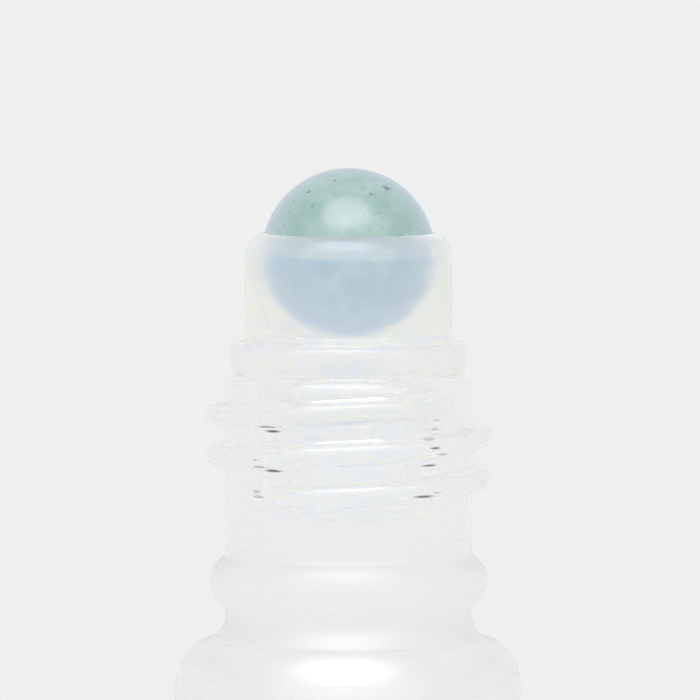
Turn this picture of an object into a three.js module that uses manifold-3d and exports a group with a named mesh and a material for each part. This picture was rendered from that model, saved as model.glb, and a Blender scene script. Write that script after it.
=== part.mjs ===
// Roll-on serum bottle: a clear glass bottle, a moulded roller housing pressed into its neck,
// a polished stone ball that rolls in the housing, and the serum inside.
// Millimetres, +Z up, origin at the centre of the base.

import * as THREE from "three";
import { mergeVertices } from "three/addons/utils/BufferGeometryUtils.js";
import Module from "manifold-3d";

// Bottle body
const BOTTLE_HEIGHT = 70; // base to glass lip
const BODY_RADIUS = 10;
const BODY_WALL = 1.7;
const HEEL_RADIUS = 1.8;
const BEARING_RING_WIDTH = 2.4; // flat ring that the bottle stands on
const PUSH_UP = 0.8; // rise of the hollow under the base
const BASE_THICKNESS = 2.6; // glass over the middle of the push-up
const INNER_HEEL_RADIUS = 2.2;

// Bottle neck, measured down from the lip
const NECK_RADIUS = 7.1;
const NECK_WALL = 2.0;
const LIP_ROUNDING = 0.8;
const BORE_ROUNDING = 0.25;
const NECK_LENGTH = 10.45; // lip to the top of the bead
const BEAD_RISE = 0.88; // how far the bead stands out of the neck
const BEAD_HEIGHT = 3.0; // of the bead's round, where it meets the neck
const NECK_BASE = 0.8; // straight neck under the bead
const FLARE_WIDTH = 0.7; // flare from neck to shoulder
const FLARE_HEIGHT = 1.05;
const FLARE_BEND = 0.2; // how far the shoulder's line runs on into the flare
const SHOULDER_HEIGHT = 3.2;
const SHOULDER_GLASS = 1.2; // how much lower the shoulder ends inside than outside

// Roller housing
const COLLAR_WALL = 0.9; // plastic beside the ball
const RETAINING_RISE = 1.28; // top of the collar above the ball's centre
const RETAINING_LAND = 0.08; // flat top of the retaining edge
const COLLAR_ROUNDING = 1.6; // height of the collar's rounded shoulder
const COLLAR_ROOT = 0.15; // fillet between collar and flange
const FLANGE_LEDGE = 0.8; // flange beyond the collar
const FLANGE_HEIGHT = 1.73;
const FLANGE_ROUNDING = 0.25;
const CUP_FILLET = 0.4; // rounding between the cup's floor and the collar's wall
const ORIFICE_RADIUS = 1.8; // hole in the cup's floor, on whose edge the ball sits
const ORIFICE_LENGTH = 1.0;
const FUNNEL_HEIGHT = 1.0; // cone from the orifice to the plug's bore
const FEED_GROOVES = 4; // they lead serum past the edge that the ball sits on
const FEED_WIDTH = 0.8;
const FEED_DEPTH = 0.4;
const FEED_REACH = 1.6; // how far each groove runs out from the orifice's edge
const PLUG_LENGTH = 8.2;
const PLUG_WALL = 1.65;
const PLUG_LEAD_IN = 0.5;
const SEAL_RINGS = 2;
const SEAL_RISE = 0.12;
const SEAL_HEIGHT = 0.9;
const FIRST_SEAL = 1.8; // lip to the middle of the first seal ring
const SEAL_SPACING = 2.6;

// Ball and serum
const BALL_RADIUS = 5;
const FILL_DROP = 0.3; // top of the straight inner wall down to the serum's edge
const MENISCUS_RISE = 0.5;
const MENISCUS_WIDTH = 1.2;

// Clearances
const BALL_CLEARANCE = 0.06;
const SEAL_CLEARANCE = 0.03;
const SEAT_CLEARANCE = 0.02; // flange over the glass lip
const SERUM_CLEARANCE = 0.05;

// Facets
const TURN_FACETS = 48;
const ARC_STEPS = 2; // a curved stretch has twice as many chords
const RETAINING_CHORDS = 4;
const BALL_RINGS = 22;

// Levels of the bottle, above its base
const beadTop = BOTTLE_HEIGHT - NECK_LENGTH;
const beadBottom = beadTop - BEAD_HEIGHT;
const flareTop = beadBottom - NECK_BASE;
const shoulderTop = flareTop - FLARE_HEIGHT;
const bodyTop = shoulderTop - SHOULDER_HEIGHT;
const innerBodyTop = bodyTop - SHOULDER_GLASS;
const innerBase = PUSH_UP + BASE_THICKNESS;

// Radii that pieces share
const boreRadius = NECK_RADIUS - NECK_WALL;
const innerRadius = BODY_RADIUS - BODY_WALL;
const innerCorner = innerRadius - INNER_HEEL_RADIUS;
const socketRadius = BALL_RADIUS + BALL_CLEARANCE;
const collarRadius = socketRadius + COLLAR_WALL;
const flangeRadius = collarRadius + FLANGE_LEDGE;
const plugRadius = boreRadius - SEAL_CLEARANCE - SEAL_RISE;
const plugBore = plugRadius - PLUG_WALL;

// The ball's lowest point is level with the top of the flange, and the cup's floor
// is where the orifice's edge meets the ball, but for the clearance
const ballHeight = FLANGE_HEIGHT + BALL_RADIUS;
const cupFloor = ballHeight - Math.sqrt(socketRadius ** 2 - ORIFICE_RADIUS ** 2);

const QUARTER = Math.PI / 2;

const wasm = await Module();
wasm.setup();

// A solid of revolution about Z from a path of (radius, height) points
function revolve(path) {
  const profile = path.getPoints(ARC_STEPS);
  return new THREE.LatheGeometry(profile, TURN_FACETS).rotateX(QUARTER);
}

// The closed solid of a geometry, with its shared vertices merged
function solidOf(geometry) {
  const bare = geometry.clone();
  bare.deleteAttribute("normal");
  bare.deleteAttribute("uv");
  const merged = mergeVertices(bare, 1e-4);
  const mesh = new wasm.Mesh({
    numProp: 3,
    vertProperties: merged.getAttribute("position").array,
    triVerts: new Uint32Array(merged.getIndex().array),
  });
  return new wasm.Manifold(mesh);
}

function geometryOf(solid) {
  const mesh = solid.getMesh();
  const geometry = new THREE.BufferGeometry();
  geometry.setAttribute("position", new THREE.BufferAttribute(mesh.vertProperties, 3));
  geometry.setIndex(new THREE.BufferAttribute(mesh.triVerts, 1));
  geometry.computeVertexNormals();
  return geometry;
}

function bottleGeometry() {
  const ringOuter = BODY_RADIUS - HEEL_RADIUS;
  const ringInner = ringOuter - BEARING_RING_WIDTH;
  const domeRadius = (ringInner ** 2 + PUSH_UP ** 2) / (2 * PUSH_UP);
  const domeAngle = Math.asin(ringInner / domeRadius);
  const beadMiddle = (beadTop + beadBottom) / 2;
  const beadRound = (BEAD_HEIGHT ** 2 / 4 + BEAD_RISE ** 2) / (2 * BEAD_RISE);
  const beadCentre = NECK_RADIUS + BEAD_RISE - beadRound;
  const beadAngle = Math.asin(BEAD_HEIGHT / 2 / beadRound);
  const shoulderCentre = NECK_RADIUS + FLARE_WIDTH;
  const innerHalfWidth = (innerRadius - boreRadius) / 2;
  const innerHalfHeight = (flareTop - innerBodyTop) / 2;

  // The glass outside, from the push-up round the heel and up to the lip
  const path = new THREE.Path();
  path.absarc(0, PUSH_UP - domeRadius, domeRadius, QUARTER, QUARTER - domeAngle, true);
  path.lineTo(ringOuter, 0);
  path.absarc(ringOuter, HEEL_RADIUS, HEEL_RADIUS, -QUARTER, 0);
  path.lineTo(BODY_RADIUS, bodyTop);
  path.absellipse(shoulderCentre, bodyTop, BODY_RADIUS - shoulderCentre, SHOULDER_HEIGHT, 0, QUARTER);
  path.quadraticCurveTo(shoulderCentre - FLARE_BEND, shoulderTop, NECK_RADIUS, flareTop);
  path.lineTo(NECK_RADIUS, beadBottom);
  path.absarc(beadCentre, beadMiddle, beadRound, -beadAngle, 0);
  path.absarc(beadCentre, beadMiddle, beadRound, 0, beadAngle);
  path.lineTo(NECK_RADIUS, BOTTLE_HEIGHT - LIP_ROUNDING);
  path.absarc(NECK_RADIUS - LIP_ROUNDING, BOTTLE_HEIGHT - LIP_ROUNDING, LIP_ROUNDING, 0, QUARTER);

  // The glass inside, from the lip down the bore and round to the axis
  path.lineTo(boreRadius + BORE_ROUNDING, BOTTLE_HEIGHT);
  path.absarc(boreRadius + BORE_ROUNDING, BOTTLE_HEIGHT - BORE_ROUNDING, BORE_ROUNDING, QUARTER, 2 * QUARTER);
  path.absellipse(boreRadius + innerHalfWidth, flareTop, innerHalfWidth, innerHalfHeight, 2 * QUARTER, 3 * QUARTER);
  path.absellipse(boreRadius + innerHalfWidth, innerBodyTop, innerHalfWidth, innerHalfHeight, QUARTER, 0, true);
  path.absarc(innerCorner, innerBase + INNER_HEEL_RADIUS, INNER_HEEL_RADIUS, 0, -QUARTER, true);
  path.lineTo(0, innerBase);
  return revolve(path);
}

function serumGeometry() {
  const edge = innerBodyTop - FILL_DROP;
  const surface = edge - MENISCUS_RISE;
  const wall = innerRadius - SERUM_CLEARANCE;
  const path = new THREE.Path();
  path.moveTo(0, innerBase + SERUM_CLEARANCE);
  path.lineTo(innerCorner, innerBase + SERUM_CLEARANCE);
  path.absarc(innerCorner, innerBase + INNER_HEEL_RADIUS, INNER_HEEL_RADIUS - SERUM_CLEARANCE, -QUARTER, 0);
  path.absellipse(wall - MENISCUS_WIDTH, edge, MENISCUS_WIDTH, MENISCUS_RISE, 0, -QUARTER, true);
  path.lineTo(0, surface);
  return revolve(path);
}

// The cut of one feed groove: a bar in the cup's floor, from the axis outwards
function feedGroove() {
  const length = ORIFICE_RADIUS + FEED_REACH;
  const bar = new THREE.BoxGeometry(length, FEED_WIDTH, 2 * FEED_DEPTH);
  return bar.translate(length / 2, 0, cupFloor);
}

// The housing's own zero height is the underside of its flange
function housingGeometry() {
  const retainingRadius = Math.sqrt(socketRadius ** 2 - RETAINING_RISE ** 2);
  const collarTop = ballHeight + RETAINING_RISE;
  const landRadius = retainingRadius + RETAINING_LAND;
  const orificeBottom = cupFloor - ORIFICE_LENGTH;

  // Outside of the plug, with its lead-in and seal rings, from the bottom up
  const path = new THREE.Path();
  path.moveTo(plugBore, -PLUG_LENGTH);
  path.lineTo(plugRadius - PLUG_LEAD_IN, -PLUG_LENGTH);
  path.lineTo(plugRadius, -PLUG_LENGTH + PLUG_LEAD_IN);
  for (let ring = SEAL_RINGS - 1; ring >= 0; ring -= 1) {
    const middle = -FIRST_SEAL - ring * SEAL_SPACING;
    path.absellipse(plugRadius, middle, SEAL_RISE, SEAL_HEIGHT / 2, -QUARTER, QUARTER);
  }
  path.lineTo(plugRadius, 0);

  // Flange, collar and its rounded shoulder
  path.lineTo(flangeRadius - FLANGE_ROUNDING, 0);
  path.absarc(flangeRadius - FLANGE_ROUNDING, FLANGE_ROUNDING, FLANGE_ROUNDING, -QUARTER, 0);
  path.absarc(flangeRadius - FLANGE_ROUNDING, FLANGE_HEIGHT - FLANGE_ROUNDING, FLANGE_ROUNDING, 0, QUARTER);
  path.absarc(
    collarRadius + COLLAR_ROOT, FLANGE_HEIGHT + COLLAR_ROOT, COLLAR_ROOT, -QUARTER, -2 * QUARTER, true,
  );
  path.absellipse(
    landRadius, collarTop - COLLAR_ROUNDING, collarRadius - landRadius, COLLAR_ROUNDING, 0, QUARTER,
  );

  // Retaining edge, as chords of a circle about the ball, from the land down to the ball's equator
  const high = Math.asin(RETAINING_RISE / socketRadius);
  for (let chord = RETAINING_CHORDS; chord >= 0; chord -= 1) {
    const angle = (high * chord) / RETAINING_CHORDS;
    path.lineTo(socketRadius * Math.cos(angle), ballHeight + socketRadius * Math.sin(angle));
  }

  // Cup with a straight wall, a rounded foot and a flat floor
  path.absarc(socketRadius - CUP_FILLET, cupFloor + CUP_FILLET, CUP_FILLET, 0, -QUARTER, true);
  path.lineTo(ORIFICE_RADIUS, cupFloor);

  // Orifice, funnel and the bore of the plug
  path.lineTo(ORIFICE_RADIUS, orificeBottom);
  path.lineTo(plugBore, orificeBottom - FUNNEL_HEIGHT);
  path.lineTo(plugBore, -PLUG_LENGTH);

  let housing = solidOf(revolve(path));
  for (let groove = 0; groove < FEED_GROOVES; groove += 1) {
    const bar = feedGroove().rotateZ((2 * Math.PI * (groove + 0.5)) / FEED_GROOVES);
    housing = housing.subtract(solidOf(bar));
  }
  return geometryOf(housing);
}

function ballGeometry() {
  return new THREE.SphereGeometry(BALL_RADIUS, TURN_FACETS, BALL_RINGS).rotateX(QUARTER);
}

function addPiece(parent, name, geometry, look) {
  const mesh = new THREE.Mesh(geometry, new THREE.MeshStandardMaterial({ metalness: 0, ...look }));
  mesh.name = name;
  parent.add(mesh);
  return mesh;
}

const rollOnBottle = new THREE.Group();
addPiece(rollOnBottle, "glass_bottle", bottleGeometry(), {
  color: 0xe9eeee,
  roughness: 0.05,
  transparent: true,
  opacity: 0.35,
});
addPiece(rollOnBottle, "serum_fill", serumGeometry(), {
  color: 0xf4f6f1,
  roughness: 0.05,
  transparent: true,
  opacity: 0.5,
});

// The housing and its ball sit on the glass lip together
const roller = new THREE.Group();
roller.position.z = BOTTLE_HEIGHT + SEAT_CLEARANCE;
rollOnBottle.add(roller);
addPiece(roller, "roller_housing", housingGeometry(), {
  color: 0xe4ebf1,
  roughness: 0.3,
  transparent: true,
  opacity: 0.7,
});
const ball = addPiece(roller, "roller_ball", ballGeometry(), { color: 0x9fbcb4, roughness: 0.25 });
ball.position.z = ballHeight;

export default rollOnBottle;
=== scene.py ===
"""Dresses a packed roll-on serum bottle: moulded glass, roller housing, stone ball and serum."""

import math

import bmesh
import bpy
from bpy.props import FloatProperty, FloatVectorProperty, IntProperty, PointerProperty
from mathutils import Matrix, Vector, noise


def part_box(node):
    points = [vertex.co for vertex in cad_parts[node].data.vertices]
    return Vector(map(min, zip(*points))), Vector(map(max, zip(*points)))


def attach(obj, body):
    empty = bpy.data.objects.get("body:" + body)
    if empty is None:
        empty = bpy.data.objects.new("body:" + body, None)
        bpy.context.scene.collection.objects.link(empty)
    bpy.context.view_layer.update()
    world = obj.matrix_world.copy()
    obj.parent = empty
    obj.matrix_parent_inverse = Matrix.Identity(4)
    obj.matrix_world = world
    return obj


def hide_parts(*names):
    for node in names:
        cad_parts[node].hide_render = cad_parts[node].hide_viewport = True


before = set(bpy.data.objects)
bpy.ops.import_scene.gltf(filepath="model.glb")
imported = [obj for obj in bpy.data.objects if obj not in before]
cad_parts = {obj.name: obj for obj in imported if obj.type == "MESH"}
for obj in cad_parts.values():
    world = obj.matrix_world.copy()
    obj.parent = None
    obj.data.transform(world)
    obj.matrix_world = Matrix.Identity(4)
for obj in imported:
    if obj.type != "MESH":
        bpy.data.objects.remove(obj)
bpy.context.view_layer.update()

bl_info = {
    "name": "Roll-on serum bottle",
    "version": (1, 0, 0),
    "blender": (4, 5, 0),
    "location": "3D View > Sidebar > Roll-on bottle",
    "description": "Models a glass roll-on bottle with its roller housing, stone ball and serum",
    "category": "Add Mesh",
}

# One millimetre, in metres
MM = 0.001

# The frame's own boxes, in metres
GLASS_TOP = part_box("glass_bottle")[1]
HOUSING_LOW, HOUSING_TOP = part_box("roller_housing")
BALL_LOW, BALL_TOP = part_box("roller_ball")
SERUM_LOW, SERUM_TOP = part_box("serum_fill")
BALL_CENTRE = (BALL_LOW + BALL_TOP) / 2

# Points nearer than this are one
CLOSE = 0.001 * MM

QUARTER = math.pi / 2
FULL_TURN = 2 * math.pi

# Faces that meet at more than this have a sharp edge between them
SHARP_ANGLE = math.radians(35)

# Facets in one turn, of the glass with its thread and of the plain round pieces
GLASS_STEPS = 192
ROUND_STEPS = 160


def linear(code):
    """The linear colour of an sRGB hex code such as "#9db9b1"."""
    channels = [int(code[place:place + 2], 16) / 255 for place in (1, 3, 5)]
    return tuple(c / 12.92 if c <= 0.04045 else ((c + 0.055) / 1.055) ** 2.4 for c in channels)


def size(name, description, default):
    """A length that a user can change, in metres."""
    return FloatProperty(
        name=name, description=description, default=default, min=0, precision=5, unit="LENGTH"
    )


def angle(name, description, default):
    """An angle that a user can change, in radians."""
    return FloatProperty(
        name=name, description=description, default=default, unit="ROTATION", subtype="ANGLE"
    )


def number(name, description, default):
    """A plain number that a user can change, from 0 up."""
    return FloatProperty(name=name, description=description, default=default, min=0)


def count(name, description, default):
    """A whole number that a user can change, from 0 up."""
    return IntProperty(name=name, description=description, default=default, min=0)


def colour(name, description, code):
    """A colour that a user can change, from an sRGB hex code."""
    return FloatVectorProperty(
        name=name, description=description, default=linear(code), min=0, max=1, size=3, subtype="COLOR"
    )


class GlassBottleSettings(bpy.types.PropertyGroup):
    """Sizes and colour of the moulded glass bottle."""

    height: size("Height", "Base to glass lip", GLASS_TOP.z)
    body_radius: size("Body radius", "Outside of the straight body", GLASS_TOP.x)
    body_wall: size("Body wall", "Glass of the straight body", 1.7 * MM)
    heel_radius: size("Heel radius", "Rounding between body and base", 1.8 * MM)
    ring_width: size("Bearing ring", "Width of the flat ring that the bottle stands on", 2.4 * MM)
    push_up: size("Push-up", "Rise of the hollow under the base", 0.8 * MM)
    base_thickness: size("Base thickness", "Glass over the middle of the push-up", 2.6 * MM)
    inner_heel: size("Inner heel", "Rounding inside the base", 2.2 * MM)
    neck_radius: size("Neck radius", "Outside of the neck between the thread's ridges", 7.1 * MM)
    neck_wall: size("Neck wall", "Glass of the neck", 2.0 * MM)
    lip_rounding: size("Lip rounding", "Outer edge of the lip", 0.8 * MM)
    bore_rounding: size("Bore rounding", "Inner edge of the lip", 0.25 * MM)
    neck_length: size("Neck length", "Lip to the top of the bead's round", 10.45 * MM)
    bead_rise: size("Bead rise", "How far the bead stands out of the neck", 0.88 * MM)
    bead_height: size("Bead height", "Height of the bead's round, where it meets the neck", 3.0 * MM)
    bead_root: size("Bead root", "Fillet between the bead and the neck", 0.3 * MM)
    neck_base: size("Neck base", "Straight neck under the bead's round", 0.8 * MM)
    flare_width: size("Flare width", "Flare from neck to shoulder, across", 0.7 * MM)
    flare_height: size("Flare height", "Flare from neck to shoulder, upright", 1.05 * MM)
    flare_bend: size("Flare bend", "How far the shoulder's line runs on into the flare", 0.2 * MM)
    shoulder_height: size("Shoulder height", "Height of the rounded shoulder", 3.2 * MM)
    shoulder_glass: size("Shoulder glass", "How much lower the shoulder ends inside", 1.2 * MM)
    thread_rise: size("Thread rise", "Height of the thread's ridge over the neck", 1.12 * MM)
    thread_pitch: size("Thread pitch", "Rise of the ridge in one turn", 2.35 * MM)
    thread_half_width: size("Thread half width", "Middle of the ridge to its foot", 0.75 * MM)
    thread_drop: size("Thread drop", "Lip to the middle of the ridge's upper end", 1.25 * MM)
    thread_end: angle("Thread end", "Where the ridge ends at the top", math.radians(-5))
    thread_turn: angle("Thread turn", "How far the ridge winds", math.radians(880))
    thread_fade: angle("Thread fade", "How long the ridge takes to rise and to run out", math.radians(70))
    thread_fullness: number("Thread fullness", "How flat the ridge's top is", 3.5)
    thread_steepness: number("Thread steepness", "How fast the ridge's flanks fall, below 1 faster", 0.65)
    waviness: size("Waviness", "Unevenness of the moulded wall inside", 0.015 * MM)
    wave_length: size("Wave length", "From one unevenness of the wall to the next", 4 * MM)
    body_polish: number("Body polish", "Roughness of the blown body", 0.1)
    bead_polish: number("Bead polish", "Roughness of bead and shoulder", 0.34)
    neck_polish: number("Neck polish", "Roughness of the moulded neck", 0.13)
    gloss: colour("Gloss", "How much of the lamps the glass mirrors", "#e0e0e0")
    # Painted shade: colour, size and clearness of the dark dashes drawn on the thread
    painted_dash: colour("Painted dash", "Dark of the scuffs on the thread", "#3c3e3e")
    painted_dash_height: size("Scuff height", "Middle of a scuff to its upper edge", 0.11 * MM)
    painted_dash_core: number("Scuff core", "Share of a scuff that is fully dark", 0.6)
    painted_dash_clearness: number("Scuff clearness", "Share of light that still passes a scuff", 0.1)


class RollerHousingSettings(bpy.types.PropertyGroup):
    """Sizes and colours of the roller housing."""

    seat: size("Seat", "Height of the flange's underside, on the glass lip", GLASS_TOP.z + 0.02 * MM)
    ball_clearance: size("Ball clearance", "Gap between ball and cup", 0.06 * MM)
    collar_wall: size("Collar wall", "Plastic beside the ball", 0.9 * MM)
    retaining_land: size("Retaining land", "Flat top of the retaining edge", 0.08 * MM)
    collar_rounding: size("Collar rounding", "Height of the collar's rounded shoulder", 1.6 * MM)
    collar_root: size("Collar root", "Fillet between collar and flange", 0.15 * MM)
    flange_radius: size("Flange radius", "Outside of the flange", HOUSING_TOP.x)
    flange_height: size("Flange height", "Thickness of the flange", 1.73 * MM)
    flange_rounding: size("Flange rounding", "Rounding of the flange's edges", 0.25 * MM)
    cup_fillet: size("Cup fillet", "Rounding between the cup's floor and wall", 0.4 * MM)
    orifice_radius: size("Orifice radius", "Hole in the cup's floor, on whose edge the ball sits", 1.8 * MM)
    orifice_length: size("Orifice length", "Straight wall of that hole", 1.0 * MM)
    funnel_height: size("Funnel height", "Cone between the hole and the plug's bore", 1.0 * MM)
    feed_grooves: count("Feed grooves", "Grooves round the hole, in the cup's floor", 4)
    feed_width: size("Feed width", "Width of the feed grooves in the cup's floor", 0.8 * MM)
    feed_depth: size("Feed depth", "Depth of the feed grooves", 0.4 * MM)
    feed_reach: size("Feed reach", "How far each groove runs out from the hole's edge", 1.6 * MM)
    plug_radius: size("Plug radius", "Outside of the plug between its seal rings", 4.95 * MM)
    plug_wall: size("Plug wall", "Plastic of the plug", 1.65 * MM)
    plug_lead_in: size("Plug lead-in", "Chamfer at the plug's lower end", 0.5 * MM)
    seal_rise: size("Seal rise", "How far the seal rings stand out", 0.12 * MM)
    seal_height: size("Seal height", "Height of a seal ring", 0.9 * MM)
    first_seal: size("First seal", "Glass lip to the middle of the first seal ring", 1.8 * MM)
    seal_spacing: size("Seal spacing", "From one seal ring to the next", 2.6 * MM)
    haze: number("Haze", "Light scattered per metre of plastic", 950)
    haze_tint: colour("Haze tint", "Share of each colour of light that is scattered", "#a2aeff")
    # Painted light: how much whiter and less clear the collar is made from the ball's middle up
    painted_light_band: number("Painted light band", "White of the painted_bright retaining edge", 0.1)
    painted_band_start: size("Whitening start", "Half the height over which the white begins", 0.1 * MM)
    clear_tint: colour("Clear tint", "What one wall lets through", "#feffff")
    thick_tint: colour("Thick tint", "What the flange lets through", "#fdf9f6")


class StoneBallSettings(bpy.types.PropertyGroup):
    """Size and colours of the stone ball."""

    radius: size("Radius", "Radius of the ball", BALL_TOP.x)
    pit_depth: size("Pit depth", "Depth of the small open pits in the polish", 0.07 * MM)
    pit_raggedness: number("Pit raggedness", "How uneven the rim of a pit is", 0.5)
    rag_length: size("Rag length", "From one unevenness of a rim to the next", 0.15 * MM)
    small_pits: count("Small pits", "Pits scattered all over the ball", 40)
    small_pit_width: size("Small pit width", "Half width of the smallest pit", 0.05 * MM)
    small_pit_spread: size("Small pit spread", "How much larger a small pit can be", 0.06 * MM)
    pit_seed: count("Pit seed", "Which arrangement of small pits the stone has", 11)
    base: colour("Stone", "Main green of the stone", "#94b8b0")
    pale: colour("Pale", "Milky grains in the stone", "#a6c3bc")
    deep: colour("Deep", "Darker mineral flecks", "#80a799")
    pit: colour("Pit", "Bottom of the pits", "#48635a")
    gloss: colour("Gloss", "Tint of the highlights on the polish", "#ffe4f6")
    bloom: colour("Bloom", "Tint of the pale bloom at the ball's edge", "#dcd6f8")


class SerumSettings(bpy.types.PropertyGroup):
    """Sizes and colour of the serum."""

    radius: size("Radius", "Serum where it meets the wall", SERUM_TOP.x)
    bottom: size("Bottom", "Lowest level of the serum", SERUM_LOW.z)
    edge: size("Edge", "Level of the serum where it climbs the wall", SERUM_TOP.z)
    meniscus_rise: size("Meniscus rise", "How far the serum climbs the wall", 0.5 * MM)
    meniscus_width: size("Meniscus width", "Width of the climbing edge", 1.2 * MM)
    heel: size("Heel", "Rounding at the bottom", 2.15 * MM)
    tint: colour("Serum", "Tint of the clear serum", "#f7faf6")


class StageSettings(bpy.types.PropertyGroup):
    """Camera, light and backdrop."""

    view_height: size("View height", "Height of the point in the middle of the picture", 71.3 * MM)
    view_shift: size("View shift", "How far that point lies to the right of the axis", 0.08 * MM)
    view_width: size("View width", "Width of the picture at the bottle's axis", 40.2 * MM)
    view_distance: size("View distance", "Camera to that point", 400 * MM)
    elevation: angle("Elevation", "How far the camera looks down", math.radians(3.4))
    backdrop: colour("Backdrop", "Pale grey of the backdrop", "#efefef")
    paper: colour("Paper", "Colour of the floor's paper", "#e4e4e4")
    shadow_reach: size("Shadow reach", "How far off the paper takes the whole shadow", 60 * MM)
    even_from: size("Even from", "How far off the paper is one even tone", 260 * MM)
    floor_radius: size("Floor radius", "Radius of the round floor", 30)
    room: number("Room", "Light from the camera's side of the room", 0.85)
    surround: number("Surround", "Room and paper as the glass shows them", 0.97)
    bounces: count("Bounces", "How many surfaces light may meet on its way", 256)


def node(tree, kind, inputs=None, **settings):
    """Adds a node, gives it its settings, and sets or links its inputs."""
    made = tree.nodes.new(kind)
    for name, value in settings.items():
        setattr(made, name, value)
    for socket, value in (inputs or {}).items():
        if isinstance(value, bpy.types.NodeSocket):
            tree.links.new(value, made.inputs[socket])
        else:
            made.inputs[socket].default_value = value
    return made


def new_material(name):
    """An empty node material and its tree."""
    material = bpy.data.materials.new(name)
    material.use_nodes = True
    material.node_tree.nodes.clear()
    return material, material.node_tree


def opaque(rgb):
    """A colour with full alpha, as colour sockets take it."""
    return (*rgb, 1.0)


# Painted shade on the thread: short dark dashes for the dark refractions where its flanks turn the light
# away. Degrees to the right of the front, drop below the lip, half length, darkness
PAINTED_DARK_DASHES = (
    (-37, 2.71 * MM, 0.6 * MM, 0.9),
    (-36, 2.98 * MM, 0.8 * MM, 1.0),
    (-36, 5.23 * MM, 0.9 * MM, 1.0),
    (-43, 4.55 * MM, 0.35 * MM, 0.5),
    (-41, 4.97 * MM, 0.5 * MM, 0.6),
    (-43, 6.41 * MM, 0.3 * MM, 0.5),
    (-42, 6.7 * MM, 0.4 * MM, 0.5),
    (39, 3.87 * MM, 0.5 * MM, 1.0),
    (39, 4.94 * MM, 0.8 * MM, 0.9),
    (32, 6.58 * MM, 0.9 * MM, 0.9),
    (42, 2.4 * MM, 0.5 * MM, 0.5),
    (41, 2.9 * MM, 0.5 * MM, 0.6),
    (36, 3.37 * MM, 0.5 * MM, 0.5),
    (43, 4.24 * MM, 0.5 * MM, 0.6),
    (40, 6.4 * MM, 0.4 * MM, 0.5),
)


def painted_dash_share(tree, settings, place):
    """A value that is the darkness of a painted dark dash (painted shade) where the thread has one, and 0
    elsewhere.
    """
    share = 0.0
    for turn, drop, half_length, darkness in PAINTED_DARK_DASHES:
        across = settings.neck_radius + settings.thread_rise / 2
        turn = math.radians(turn)
        middle = (across * math.sin(turn), -across * math.cos(turn), settings.height - drop)
        offset = node(tree, "ShaderNodeVectorMath", {0: place, 1: middle}, operation="SUBTRACT")
        reach = (1 / half_length, 1 / settings.thread_rise, 1 / settings.painted_dash_height)
        shares = node(tree, "ShaderNodeVectorMath", {
            0: offset.outputs["Vector"], 1: reach,
        }, operation="MULTIPLY")
        away = node(tree, "ShaderNodeVectorMath", {0: shares.outputs["Vector"]}, operation="LENGTH")
        mark = node(tree, "ShaderNodeMapRange", {
            "Value": away.outputs["Value"],
            "From Min": settings.painted_dash_core,
            "From Max": 1.0,
            "To Min": darkness,
            "To Max": 0.0,
        })
        share = node(tree, "ShaderNodeMath", {
            0: mark.outputs["Result"], 1: share,
        }, operation="MAXIMUM").outputs["Value"]
    return share


def moulded_glass(settings):
    """Soda-lime glass, blown in a mould: clear and glossy, with a slow ripple left by the mould."""
    material, tree = new_material("moulded_clear_glass")
    place = node(tree, "ShaderNodeTexCoord")
    # Ripples about 5 mm apart
    ripple = node(tree, "ShaderNodeTexNoise", {
        "Vector": place.outputs["Object"], "Scale": 1 / (5 * MM), "Detail": 1.0,
    })
    bump = node(tree, "ShaderNodeBump", {
        "Height": ripple.outputs["Fac"], "Strength": 0.12, "Distance": 0.05 * MM,
    })
    # Bead and shoulder have a duller skin than the blown body and the fire-polished thread
    height = node(tree, "ShaderNodeSeparateXYZ", {0: place.outputs["Object"]})
    bead_top = settings.height - settings.neck_length
    shoulder_top = bead_top - settings.bead_height - settings.neck_base - settings.flare_height
    dull = node(tree, "ShaderNodeMapRange", {
        "Value": height.outputs["Z"],
        "From Min": shoulder_top - 2 * settings.shoulder_height,
        "From Max": shoulder_top,
        "To Min": settings.body_polish,
        "To Max": settings.bead_polish,
    })
    polish = node(tree, "ShaderNodeMapRange", {
        "Value": height.outputs["Z"],
        "From Min": bead_top,
        "From Max": bead_top + settings.bead_height,
        "To Min": dull.outputs["Result"],
        "To Max": settings.neck_polish,
    })
    # Painted shade: a few dark dashes on the thread's flanks, darker and less clear, for the dark
    # refractions there
    painted_dashes = painted_dash_share(tree, settings, place.outputs["Object"])
    surface = node(tree, "ShaderNodeMix", {
        "Factor": painted_dashes, "A": (1.0, 1.0, 1.0, 1.0), "B": opaque(settings.painted_dash),
    }, data_type="RGBA")
    clear = node(tree, "ShaderNodeMapRange", {
        "Value": painted_dashes, "To Min": 1.0, "To Max": settings.painted_dash_clearness,
    })
    glass = node(tree, "ShaderNodeBsdfPrincipled", {
        "Base Color": surface.outputs["Result"],
        "Roughness": polish.outputs["Result"],
        "IOR": 1.52,
        "Specular Tint": opaque(settings.gloss),
        "Transmission Weight": clear.outputs["Result"],
        "Normal": bump.outputs["Normal"],
    })
    node(tree, "ShaderNodeOutputMaterial", {"Surface": glass.outputs["BSDF"]})
    return material


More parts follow.
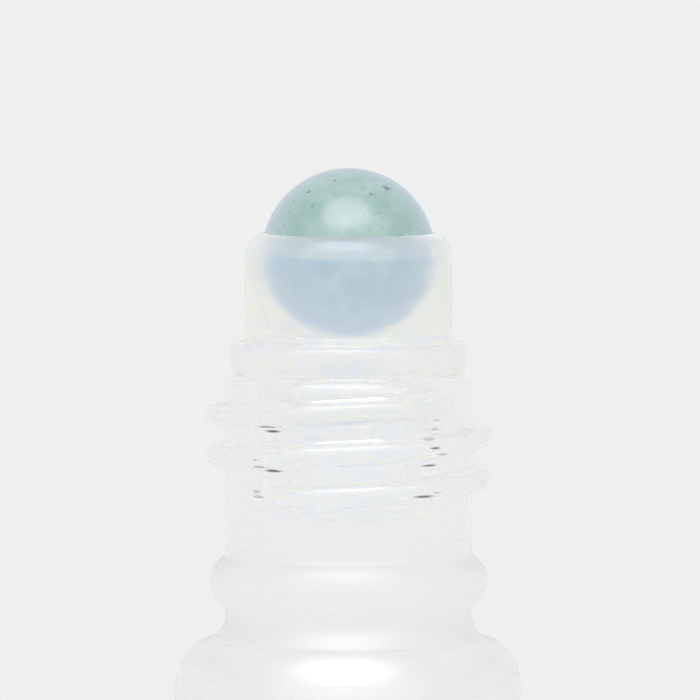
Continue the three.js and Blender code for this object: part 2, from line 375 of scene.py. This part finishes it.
def natural_polypropylene(settings):
    """Uncoloured polypropylene, injection moulded: clear enough to see through, with a bluish haze."""
    material, tree = new_material("natural_polypropylene")
    place = node(tree, "ShaderNodeTexCoord")
    # Flow marks of the moulding, about 3 mm apart
    flow = node(tree, "ShaderNodeTexNoise", {
        "Vector": place.outputs["Object"], "Scale": 1 / (3 * MM), "Detail": 2.0,
    })
    bump = node(tree, "ShaderNodeBump", {
        "Height": flow.outputs["Fac"], "Strength": 0.2, "Distance": 0.04 * MM,
    })
    # Painted light: from the ball's middle up the collar is made whiter and less clear, for the light its
    # rounding catches
    height = node(tree, "ShaderNodeSeparateXYZ", {0: place.outputs["Object"]})
    clear_below_band = node(tree, "ShaderNodeMapRange", {
        "Value": height.outputs["Z"],
        "From Min": BALL_CENTRE.z - settings.painted_band_start,
        "From Max": BALL_CENTRE.z + settings.painted_band_start,
        "To Min": 1.0,
        "To Max": 1.0 - settings.painted_light_band,
    })
    # The thick flange swallows a little blue, which the thin walls don't
    half_flange = settings.flange_height / 2
    in_flange = node(tree, "ShaderNodeMath", {
        0: height.outputs["Z"], 1: settings.seat + half_flange, 2: half_flange + CLOSE,
    }, operation="COMPARE")
    tint = node(tree, "ShaderNodeMix", {
        "Factor": in_flange.outputs["Value"],
        "A": opaque(settings.clear_tint),
        "B": opaque(settings.thick_tint),
    }, data_type="RGBA")
    clear = node(tree, "ShaderNodeBsdfPrincipled", {
        "Base Color": tint.outputs["Result"],
        "Roughness": 0.22,
        "IOR": 1.49,
        "Transmission Weight": clear_below_band.outputs["Result"],
        "Normal": bump.outputs["Normal"],
    })
    haze = node(tree, "ShaderNodeVolumeScatter", {
        "Color": opaque(settings.haze_tint), "Density": settings.haze, "Anisotropy": 0.0,
    })
    node(tree, "ShaderNodeOutputMaterial", {
        "Surface": clear.outputs["BSDF"], "Volume": haze.outputs["Volume"],
    })
    return material


def polished_aventurine(settings):
    """Green quartz stone, tumbled to a satin polish: milky grains, darker flecks and small open pits."""
    material, tree = new_material("polished_green_stone")
    place = node(tree, "ShaderNodeTexCoord")
    # Milky grains about 1.6 mm apart
    grains = node(tree, "ShaderNodeTexNoise", {
        "Vector": place.outputs["Object"], "Scale": 1 / (1.6 * MM), "Detail": 5.0, "Roughness": 0.62,
    })
    grain_share = node(tree, "ShaderNodeMapRange", {
        "Value": grains.outputs["Fac"], "From Min": 0.42, "From Max": 0.68,
    })
    milky = node(tree, "ShaderNodeMix", {
        "Factor": grain_share.outputs["Result"], "A": opaque(settings.base), "B": opaque(settings.pale),
    }, data_type="RGBA")
    # Mineral flecks about half a millimetre apart
    flecks = node(tree, "ShaderNodeTexVoronoi", {
        "Vector": place.outputs["Object"], "Scale": 1 / (0.55 * MM), "Randomness": 1.0,
    })
    fleck_share = node(tree, "ShaderNodeMapRange", {
        "Value": flecks.outputs["Distance"],
        "From Min": 0.12,
        "From Max": 0.3,
        "To Min": 0.4,
        "To Max": 0.0,
    })
    flecked = node(tree, "ShaderNodeMix", {
        "Factor": fleck_share.outputs["Result"], "A": milky.outputs["Result"], "B": opaque(settings.deep),
    }, data_type="RGBA")
    hollows = node(tree, "ShaderNodeAttribute", attribute_name="pit")
    pitted = node(tree, "ShaderNodeMix", {
        "Factor": hollows.outputs["Fac"], "A": flecked.outputs["Result"], "B": opaque(settings.pit),
    }, data_type="RGBA")
    bump = node(tree, "ShaderNodeBump", {
        "Height": grains.outputs["Fac"], "Strength": 0.15, "Distance": 0.02 * MM,
    })
    polish = node(tree, "ShaderNodeMapRange", {
        "Value": grains.outputs["Fac"], "From Min": 0.3, "From Max": 0.7, "To Min": 0.16, "To Max": 0.32,
    })
    stone = node(tree, "ShaderNodeBsdfPrincipled", {
        "Base Color": pitted.outputs["Result"],
        "Roughness": polish.outputs["Result"],
        "IOR": 1.6,
        "Specular Tint": opaque(settings.gloss),
        "Sheen Weight": 0.85,
        "Sheen Roughness": 0.45,
        "Sheen Tint": opaque(settings.bloom),
        "Normal": bump.outputs["Normal"],
    })
    node(tree, "ShaderNodeOutputMaterial", {"Surface": stone.outputs["BSDF"]})
    return material


def clear_liquid(settings):
    """Water-based serum: clear, glossy and a little less dense to light than glass."""
    material, tree = new_material("clear_serum")
    liquid = node(tree, "ShaderNodeBsdfPrincipled", {
        "Base Color": opaque(settings.tint),
        "Roughness": 0.0,
        "IOR": 1.36,
        "Transmission Weight": 1.0,
    })
    node(tree, "ShaderNodeOutputMaterial", {"Surface": liquid.outputs["BSDF"]})
    return material


def arc(radius, height, across, upright, start, end, steps=8):
    """Points of an elliptical arc about (radius, height)."""
    points = []
    for step in range(steps + 1):
        turn = start + (end - start) * step / steps
        points.append((radius + across * math.cos(turn), height + upright * math.sin(turn)))
    return points


def bend(start, corner, end, steps=8):
    """Points of a curve from start to end that heads for a corner point on its way."""
    points = []
    for step in range(steps + 1):
        t = step / steps
        shares = ((1 - t) ** 2, 2 * t * (1 - t), t ** 2)
        pulls = list(zip(shares, (start, corner, end)))
        points.append(tuple(sum(share * point[axis] for share, point in pulls) for axis in (0, 1)))
    return points


def rise(radius, low, high, steps):
    """Points up or down a straight wall, both ends included."""
    return [(radius, low + (high - low) * step / steps) for step in range(steps + 1)]


def revolve(outline, steps, closed):
    """A bmesh of an outline of (radius, height) points, spun once round the Z axis."""
    bm = bmesh.new()
    corners = [bm.verts.new((radius, 0, height)) for radius, height in outline]
    edges = [bm.edges.new(pair) for pair in zip(corners, corners[1:])]
    if closed:
        edges.append(bm.edges.new((corners[-1], corners[0])))
    bmesh.ops.spin(
        bm, geom=corners + edges, cent=(0, 0, 0), axis=(0, 0, 1),
        angle=FULL_TURN, steps=steps, use_merge=True,
    )
    bmesh.ops.remove_doubles(bm, verts=bm.verts, dist=CLOSE)
    bmesh.ops.recalc_face_normals(bm, faces=bm.faces)
    return bm


def add_piece(bm, name, material, body, replaced):
    """Makes a mesh object of a bmesh, and sets it on its body in place of a solid of the frame."""
    mesh = bpy.data.meshes.new(name)
    bm.to_mesh(mesh)
    bm.free()
    mesh.shade_smooth()
    mesh.set_sharp_from_angle(angle=SHARP_ANGLE)
    mesh.materials.append(material)
    piece = bpy.data.objects.new(name, mesh)
    bpy.context.scene.collection.objects.link(piece)
    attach(piece, body)
    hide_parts(replaced)
    return piece


def smooth_step(share):
    """Eases a share from 0 to 1, held at both ends."""
    share = min(max(share, 0.0), 1.0)
    return share * share * (3 - 2 * share)


def ridge_height(settings, around, height):
    """How far the screw thread stands out of the neck at an angle and a height."""
    highest = settings.height - settings.thread_drop
    wound = (settings.thread_end - around) % FULL_TURN
    tallest = 0.0
    while wound <= settings.thread_turn:
        middle = highest - settings.thread_pitch * wound / FULL_TURN
        aside = abs(height - middle) / settings.thread_half_width
        flank = max(1 - aside ** settings.thread_fullness, 0.0) ** settings.thread_steepness
        ends = smooth_step(wound / settings.thread_fade)
        ends *= smooth_step((settings.thread_turn - wound) / settings.thread_fade)
        tallest = max(tallest, settings.thread_rise * flank * ends)
        wound += FULL_TURN
    return tallest


class ROLLON_OT_glass_bottle(bpy.types.Operator):
    """Spin the glass bottle and raise the screw thread on its neck"""

    bl_idname = "rollon.glass_bottle"
    bl_label = "Glass bottle"

    def execute(self, context):
        s = context.scene.rollon_glass
        ring_outer = s.body_radius - s.heel_radius
        ring_inner = ring_outer - s.ring_width
        dome = (ring_inner ** 2 + s.push_up ** 2) / (2 * s.push_up)
        bead_top = s.height - s.neck_length
        bead_bottom = bead_top - s.bead_height
        bead_middle = (bead_top + bead_bottom) / 2
        bead_round = (s.bead_height ** 2 / 4 + s.bead_rise ** 2) / (2 * s.bead_rise)
        bead_centre = s.neck_radius + s.bead_rise - bead_round
        flare_top = bead_bottom - s.neck_base
        shoulder_top = flare_top - s.flare_height
        body_top = shoulder_top - s.shoulder_height
        shoulder = s.neck_radius + s.flare_width
        bore = s.neck_radius - s.neck_wall
        inside = s.body_radius - s.body_wall
        inner_top = body_top - s.shoulder_glass
        inner_base = s.push_up + s.base_thickness
        half_width = (inside - bore) / 2
        half_height = (flare_top - inner_top) / 2
        heel = inner_base + s.inner_heel
        neck_top = s.height - s.lip_rounding
        # Where the fillets of the bead meet its round and the neck
        root = s.neck_radius + s.bead_root
        root_rise = math.sqrt((bead_round + s.bead_root) ** 2 - (root - bead_centre) ** 2)
        root_angle = math.atan2(root_rise, root - bead_centre)
        thread_low = bead_middle + root_rise

        outline = arc(0, s.push_up - dome, dome, dome, QUARTER, QUARTER - math.asin(ring_inner / dome))
        outline += arc(ring_outer, s.heel_radius, s.heel_radius, s.heel_radius, -QUARTER, 0)
        outline += rise(s.body_radius, s.heel_radius, body_top, 12)
        outline += arc(shoulder, body_top, s.body_radius - shoulder, s.shoulder_height, 0, QUARTER, 14)
        outline += bend(
            (shoulder, shoulder_top), (shoulder - s.flare_bend, shoulder_top), (s.neck_radius, flare_top)
        )
        outline += arc(
            root, bead_middle - root_rise, s.bead_root, s.bead_root, 2 * QUARTER, 2 * QUARTER - root_angle
        )
        outline += arc(bead_centre, bead_middle, bead_round, bead_round, -root_angle, root_angle, 20)
        outline += arc(root, thread_low, s.bead_root, s.bead_root, root_angle - 2 * QUARTER, -2 * QUARTER)
        outline += arc(s.neck_radius - s.lip_rounding, neck_top, s.lip_rounding, s.lip_rounding, 0, QUARTER)
        bore_top = s.height - s.bore_rounding
        outline += arc(
            bore + s.bore_rounding, bore_top, s.bore_rounding, s.bore_rounding, QUARTER, 2 * QUARTER
        )
        outline += rise(bore, bore_top, flare_top, 24)
        outline += arc(bore + half_width, flare_top, half_width, half_height, 2 * QUARTER, 3 * QUARTER, 12)
        outline += arc(bore + half_width, inner_top, half_width, half_height, QUARTER, 0, 12)
        outline += rise(inside, inner_top, heel, 24)
        outline += arc(inside - s.inner_heel, heel, s.inner_heel, s.inner_heel, 0, -QUARTER)
        outline.append((0, inner_base))
        bm = revolve(outline, GLASS_STEPS, closed=False)
        # The slight unevenness of the wall inside
        for vert in bm.verts:
            across = math.hypot(vert.co.x, vert.co.y)
            in_neck = abs(across - bore) < CLOSE and flare_top < vert.co.z < neck_top
            in_body = abs(across - inside) < CLOSE and heel < vert.co.z < inner_top
            if in_neck or in_body:
                vert.co.xy *= 1 + s.waviness * noise.noise(vert.co / s.wave_length) / across
        self.wind_thread(bm, s, thread_low, neck_top)
        add_piece(bm, "moulded_glass_bottle", moulded_glass(s), "bottle", "glass_bottle")
        return {"FINISHED"}

    def wind_thread(self, bm, s, low, high):
        """Puts a wall spun like a screw in place of the neck's plain one, and raises the thread on it."""
        plain = []
        for face in bm.faces:
            levels = [v.co.z for v in face.verts]
            if min(levels) < low + CLOSE and max(levels) > high - CLOSE:
                plain.append(face)
        bmesh.ops.delete(bm, geom=plain, context="FACES")

        # One turn of the wall, with rows that follow the ridge
        wall = bmesh.new()
        half_rows = 8
        turns = math.ceil((high - low) / s.thread_pitch) + 2
        lowest = s.height - s.thread_drop - s.thread_pitch * (s.thread_end / FULL_TURN + turns - 1)
        rows = [lowest - s.thread_pitch / 2]
        for step in range(-half_rows, half_rows + 1):
            rows.append(lowest + s.thread_half_width * math.sin(QUARTER * step / half_rows))
        rows.append(lowest + s.thread_pitch / 2)
        corners = [wall.verts.new((s.neck_radius, 0, row)) for row in rows]
        edges = [wall.edges.new(pair) for pair in zip(corners, corners[1:])]
        bmesh.ops.spin(
            wall, geom=corners + edges, cent=(0, 0, 0), axis=(0, 0, 1),
            angle=FULL_TURN, steps=GLASS_STEPS, dvec=(0, 0, s.thread_pitch / GLASS_STEPS),
        )
        one_turn = wall.verts[:] + wall.edges[:] + wall.faces[:]
        for turn in range(1, turns):
            copied = bmesh.ops.duplicate(wall, geom=one_turn)["geom"]
            risen = [part for part in copied if isinstance(part, bmesh.types.BMVert)]
            bmesh.ops.translate(wall, verts=risen, vec=(0, 0, s.thread_pitch * turn))
        bmesh.ops.remove_doubles(wall, verts=wall.verts, dist=CLOSE)
        # Rows past the ends fall together there, which brings both ends level
        for vert in wall.verts:
            vert.co.z = min(max(vert.co.z, low), high)
            out = ridge_height(s, math.atan2(vert.co.y, vert.co.x), vert.co.z)
            # The ridge runs out before the lip's rounding begins
            out *= smooth_step((high - vert.co.z) / (s.lip_rounding / 2))
            vert.co.xy *= 1 + out / s.neck_radius
        wound = bpy.data.meshes.new("wound_wall")
        wall.to_mesh(wound)
        wall.free()
        bm.from_mesh(wound)
        bpy.data.meshes.remove(wound)
        bmesh.ops.remove_doubles(bm, verts=bm.verts, dist=CLOSE)
        bmesh.ops.recalc_face_normals(bm, faces=bm.faces)


class ROLLON_OT_roller_housing(bpy.types.Operator):
    """Spin the roller housing and cut the feed grooves in the floor of its cup"""

    bl_idname = "rollon.roller_housing"
    bl_label = "Roller housing"

    def execute(self, context):
        s = context.scene.rollon_housing
        cup = context.scene.rollon_ball.radius + s.ball_clearance
        collar = cup + s.collar_wall
        top = HOUSING_TOP.z
        flange_top = s.seat + s.flange_height
        retaining = top - BALL_CENTRE.z
        land = math.sqrt(cup ** 2 - retaining ** 2) + s.retaining_land
        bore = s.plug_radius - s.plug_wall
        floor = BALL_CENTRE.z - math.sqrt(cup ** 2 - s.orifice_radius ** 2)
        orifice_bottom = floor - s.orifice_length
        edge = s.flange_radius - s.flange_rounding
        rounding, root = s.flange_rounding, s.collar_root

        outline = [(bore, HOUSING_LOW.z), (s.plug_radius - s.plug_lead_in, HOUSING_LOW.z)]
        outline.append((s.plug_radius, HOUSING_LOW.z + s.plug_lead_in))
        for middle in (s.seat - s.first_seal - s.seal_spacing, s.seat - s.first_seal):
            outline += arc(s.plug_radius, middle, s.seal_rise, s.seal_height / 2, -QUARTER, QUARTER, 10)
        outline.append((s.plug_radius, s.seat))
        outline += arc(edge, s.seat + rounding, rounding, rounding, -QUARTER, 0, 5)
        outline += arc(edge, flange_top - rounding, rounding, rounding, 0, QUARTER, 5)
        outline += arc(collar + root, flange_top + root, root, root, -QUARTER, -2 * QUARTER, 5)
        outline += arc(land, top - s.collar_rounding, collar - land, s.collar_rounding, 0, QUARTER, 12)
        outline += arc(0, BALL_CENTRE.z, cup, cup, math.asin(retaining / cup), 0, 8)
        outline += arc(cup - s.cup_fillet, floor + s.cup_fillet, s.cup_fillet, s.cup_fillet, 0, -QUARTER, 6)
        outline += [(s.orifice_radius, floor), (s.orifice_radius, floor - s.feed_depth)]
        outline += [(s.orifice_radius, orifice_bottom), (bore, orifice_bottom - s.funnel_height)]
        bm = revolve(outline, ROUND_STEPS, closed=True)
        for groove in range(s.feed_grooves):
            self.cut_groove(bm, s, FULL_TURN * (groove + 0.5) / s.feed_grooves, floor, cup)
        # The cuts left the floor with faces of many corners
        cut = [f for f in bm.faces if all(abs(v.co.z - floor) < CLOSE for v in f.verts)]
        bmesh.ops.triangulate(bm, faces=cut)
        bmesh.ops.recalc_face_normals(bm, faces=bm.faces)
        add_piece(
            bm, "roller_housing_moulding", natural_polypropylene(s),
            "bottle", "roller_housing",
        )
        return {"FINISHED"}

    def cut_groove(self, bm, s, turn, floor, cup):
        """Sinks one feed groove in the cup's floor, open to the orifice."""
        out = Vector((math.cos(turn), math.sin(turn), 0))
        aside = Vector((-out.y, out.x, 0))
        half = s.feed_width / 2
        reach = s.orifice_radius + s.feed_reach
        bottom = floor - s.feed_depth

        def faces_between(low, width, length):
            """Faces between a level and the floor, within a width and a length of the groove's middle."""
            found = []
            for face in bm.faces:
                middle = face.calc_center_median()
                level = all(low - CLOSE < v.co.z < floor + CLOSE for v in face.verts)
                if level and abs(middle.dot(aside)) < width and 0 < middle.dot(out) < length:
                    found.append(face)
            return found

        cuts = ((aside * half, aside, cup), (-aside * half, aside, cup), (out * reach, out, half))
        for place, normal, width in cuts:
            faces = faces_between(bottom, width, cup)
            edges = list({e for f in faces for e in f.edges})
            verts = list({v for f in faces for v in f.verts})
            bmesh.ops.bisect_plane(
                bm, geom=verts + edges + faces, dist=CLOSE, plane_co=place, plane_no=normal
            )
        lid = faces_between(floor, half, reach)
        sunk = bmesh.ops.extrude_face_region(bm, geom=lid)["geom"]
        lowered = [part for part in sunk if isinstance(part, bmesh.types.BMVert)]
        bmesh.ops.translate(bm, verts=lowered, vec=(0, 0, -s.feed_depth))
        bmesh.ops.delete(bm, geom=lid, context="FACES")
        # What stands between the groove and the orifice goes
        between = []
        for face in faces_between(bottom, half, reach):
            if all(math.hypot(v.co.x, v.co.y) < s.orifice_radius + CLOSE for v in face.verts):
                between.append(face)
        bmesh.ops.delete(bm, geom=between, context="FACES")
        bmesh.ops.remove_doubles(bm, verts=bm.verts, dist=CLOSE)


# The larger pits on the camera's side: degrees to the right, degrees above the middle, half width
FRONT_PITS = (
    (-19, 61, 0.16 * MM),
    (45, 52, 0.36 * MM),
    (22, 47, 0.16 * MM),
    (-43, 48, 0.17 * MM),
    (-31, 36, 0.12 * MM),
    (35, 13, 0.2 * MM),
)

# Cosine of an angle that is wider than any pit, seen from the ball's middle
PIT_REACH = 0.99


class ROLLON_OT_stone_ball(bpy.types.Operator):
    """Make the polished stone ball with the small pits in its surface"""

    bl_idname = "rollon.stone_ball"
    bl_label = "Stone ball"

    def execute(self, context):
        s = context.scene.rollon_ball
        bm = bmesh.new()
        bmesh.ops.create_icosphere(bm, subdivisions=7, radius=s.radius)
        pits = []
        for turn, height, width in FRONT_PITS:
            turn, height = math.radians(turn), math.radians(height)
            level = math.cos(height)
            place = Vector((level * math.sin(turn), -level * math.cos(turn), math.sin(height)))
            pits.append((place, width))
        noise.seed_set(s.pit_seed)
        for _ in range(s.small_pits):
            place = noise.random_unit_vector()
            pits.append((place, s.small_pit_width + s.small_pit_spread * noise.random()))
        pit_layer = bm.verts.layers.float.new("pit")
        for vert in bm.verts:
            outward = vert.co.normalized()
            deepest = 0.0
            for place, width in pits:
                if outward.dot(place) > PIT_REACH:
                    away = (outward - place).length * s.radius
                    ragged = 1 + s.pit_raggedness * noise.noise(vert.co / s.rag_length)
                    deepest = max(deepest, 1 - smooth_step(away / (width * ragged)))
            vert[pit_layer] = deepest
            vert.co -= outward * deepest * s.pit_depth
        bmesh.ops.translate(bm, verts=bm.verts, vec=BALL_CENTRE)
        add_piece(bm, "polished_stone_ball", polished_aventurine(s), "ball", "roller_ball")
        return {"FINISHED"}


class ROLLON_OT_serum(bpy.types.Operator):
    """Spin the serum with the edge that climbs the glass"""

    bl_idname = "rollon.serum"
    bl_label = "Serum"

    def execute(self, context):
        s = context.scene.rollon_serum
        corner = s.radius - s.heel
        outline = [(0, s.bottom)]
        outline += arc(corner, s.bottom + s.heel, s.heel, s.heel, -QUARTER, 0)
        level = s.radius - s.meniscus_width
        outline += arc(level, s.edge, s.meniscus_width, s.meniscus_rise, 0, -QUARTER, 10)
        outline.append((0, s.edge - s.meniscus_rise))
        bm = revolve(outline, ROUND_STEPS, closed=False)
        add_piece(bm, "serum_filling", clear_liquid(s), "bottle", "serum_fill")
        return {"FINISHED"}


def backdrop_paper(settings):
    """Pale studio paper: it takes the bottle's shadow near by, and is one even tone further off."""
    material, tree = new_material("pale_studio_paper")
    place = node(tree, "ShaderNodeTexCoord")
    away = node(tree, "ShaderNodeVectorMath", {0: place.outputs["Object"]}, operation="LENGTH")
    far = node(tree, "ShaderNodeMapRange", {
        "Value": away.outputs["Value"],
        "From Min": settings.shadow_reach,
        "From Max": settings.even_from,
    }, interpolation_type="SMOOTHSTEP")
    # Seen through the bottle, the paper is as even as the room
    path = node(tree, "ShaderNodeLightPath")
    through = path.outputs["Is Transmission Ray"]
    even = node(tree, "ShaderNodeMath", {0: far.outputs["Result"], 1: through}, operation="MAXIMUM")
    strength = node(tree, "ShaderNodeMix", {"Factor": through, "A": 1.0, "B": settings.surround})
    # The paper's grain, about 2 mm across
    grain = node(tree, "ShaderNodeTexNoise", {"Vector": place.outputs["Object"], "Scale": 1 / (2 * MM)})
    bump = node(tree, "ShaderNodeBump", {
        "Height": grain.outputs["Fac"], "Strength": 0.1, "Distance": 0.05 * MM,
    })
    paper = node(tree, "ShaderNodeBsdfDiffuse", {
        "Color": opaque(settings.paper), "Normal": bump.outputs["Normal"],
    })
    glow = node(tree, "ShaderNodeEmission", {
        "Color": opaque(settings.backdrop), "Strength": strength.outputs["Result"],
    })
    both = node(tree, "ShaderNodeMixShader", {
        0: even.outputs["Value"], 1: paper.outputs["BSDF"], 2: glow.outputs["Emission"],
    })
    node(tree, "ShaderNodeOutputMaterial", {"Surface": both.outputs["Shader"]})
    material.cycles.emission_sampling = "NONE"
    return material


class ROLLON_OT_stage(bpy.types.Operator):
    """Set the pale floor, the soft light and the camera"""

    bl_idname = "rollon.stage"
    bl_label = "Stage"

    def execute(self, context):
        scene = context.scene
        s = scene.rollon_stage

        bm = bmesh.new()
        bmesh.ops.create_circle(bm, cap_ends=True, segments=96, radius=s.floor_radius)
        mesh = bpy.data.meshes.new("studio_floor")
        bm.to_mesh(mesh)
        bm.free()
        mesh.materials.append(backdrop_paper(s))
        floor = bpy.data.objects.new("studio_floor", mesh)
        scene.collection.objects.link(floor)

        world = bpy.data.worlds.new("pale_studio")
        world.use_nodes = True
        tree = world.node_tree
        tree.nodes.clear()
        # The camera's side of the room, towards -Y, is dimmer; the camera itself sees one even tone
        path = node(tree, "ShaderNodeLightPath")
        place = node(tree, "ShaderNodeTexCoord")
        parts = node(tree, "ShaderNodeSeparateXYZ", {0: place.outputs["Generated"]})
        side = node(tree, "ShaderNodeMapRange", {
            "Value": parts.outputs["Y"],
            "From Min": -0.9,
            "From Max": 0.0,
            "To Min": s.room,
            "To Max": 1.0,
        }, interpolation_type="SMOOTHSTEP")
        level = node(tree, "ShaderNodeMath", {
            0: side.outputs["Result"], 1: path.outputs["Is Camera Ray"],
        }, operation="MAXIMUM")
        shown = node(tree, "ShaderNodeMix", {
            "Factor": path.outputs["Is Transmission Ray"], "A": level.outputs["Value"], "B": s.surround,
        })
        sky = node(tree, "ShaderNodeBackground", {
            "Color": opaque(s.backdrop), "Strength": shown.outputs["Result"],
        })
        node(tree, "ShaderNodeOutputWorld", {"Surface": sky.outputs["Background"]})
        scene.world = world

        target = Vector((s.view_shift, 0, s.view_height))
        above = {"azimuth": -7, "elevation": 62, "wide": 0.82, "tall": 0.64}
        self.add_softbox(scene, target, "top_softbox", "ELLIPSE", away=0.8, power=2.4, **above)
        # Cards that show as reflections and light nothing, one of them in front of the lamp
        cards = (
            self.add_softbox(scene, target, "top_card", "ELLIPSE", away=0.79, power=2.6, **above),
            self.add_softbox(
                scene, target, "front_card", "RECTANGLE",
                azimuth=0, elevation=32, away=0.9, wide=2.4, tall=0.9, power=11,
            ),
        )
        for card in cards:
            card.visible_diffuse = False
            card.visible_transmission = False
            card.visible_volume_scatter = False

        camera = bpy.data.cameras.new("photo_camera")
        camera.angle = 2 * math.atan(s.view_width / 2 / s.view_distance)
        holder = bpy.data.objects.new("photo_camera", camera)
        back = Vector((0, -math.cos(s.elevation), math.sin(s.elevation)))
        holder.matrix_world = self.aimed(target + back * s.view_distance, target)
        scene.collection.objects.link(holder)
        scene.camera = holder
        scene.view_settings.view_transform = "Standard"
        # Light crosses many walls of glass and plastic before it leaves the bottle
        scene.cycles.max_bounces = s.bounces
        scene.cycles.transmission_bounces = s.bounces
        scene.cycles.glossy_bounces = s.bounces
        scene.cycles.volume_bounces = s.bounces
        scene.cycles.blur_glossy = 0.0
        return {"FINISHED"}

    def aimed(self, place, target):
        """A matrix that stands at place and looks at target."""
        turn = (target - place).to_track_quat("-Z", "Y").to_matrix().to_4x4()
        return Matrix.Translation(place) @ turn

    def add_softbox(self, scene, target, name, shape, azimuth, elevation, away, wide, tall, power):
        """A soft patch of light, placed round the target by angles from the camera's side."""
        lamp = bpy.data.lights.new(name, "AREA")
        lamp.shape = shape
        lamp.size = wide
        lamp.size_y = tall
        lamp.energy = power
        around, up = math.radians(azimuth), math.radians(elevation)
        toward = Vector((math.sin(around) * math.cos(up), -math.cos(around) * math.cos(up), math.sin(up)))
        holder = bpy.data.objects.new(name, lamp)
        holder.matrix_world = self.aimed(target + toward * away, target)
        holder.visible_camera = False
        scene.collection.objects.link(holder)
        return holder


class ROLLON_PT_panel(bpy.types.Panel):
    """Lists the pieces of the roll-on bottle"""

    bl_idname = "ROLLON_PT_panel"
    bl_label = "Roll-on bottle"
    bl_space_type = "VIEW_3D"
    bl_region_type = "UI"
    bl_category = "Roll-on bottle"

    def draw(self, context):
        for operator in OPERATORS:
            self.layout.operator(operator.bl_idname)


SETTINGS = {
    "rollon_glass": GlassBottleSettings,
    "rollon_housing": RollerHousingSettings,
    "rollon_ball": StoneBallSettings,
    "rollon_serum": SerumSettings,
    "rollon_stage": StageSettings,
}
OPERATORS = (
    ROLLON_OT_glass_bottle,
    ROLLON_OT_roller_housing,
    ROLLON_OT_stone_ball,
    ROLLON_OT_serum,
    ROLLON_OT_stage,
)


def register():
    for name, group in SETTINGS.items():
        bpy.utils.register_class(group)
        setattr(bpy.types.Scene, name, PointerProperty(type=group))
    for cls in (*OPERATORS, ROLLON_PT_panel):
        bpy.utils.register_class(cls)


def unregister():
    for cls in reversed((*OPERATORS, ROLLON_PT_panel)):
        bpy.utils.unregister_class(cls)
    for name, group in SETTINGS.items():
        delattr(bpy.types.Scene, name)
        bpy.utils.unregister_class(group)


def main():
    register()
    bpy.ops.rollon.glass_bottle()
    bpy.ops.rollon.roller_housing()
    bpy.ops.rollon.stone_ball()
    bpy.ops.rollon.serum()
    bpy.ops.rollon.stage()


if __name__ == "__main__":
    main()
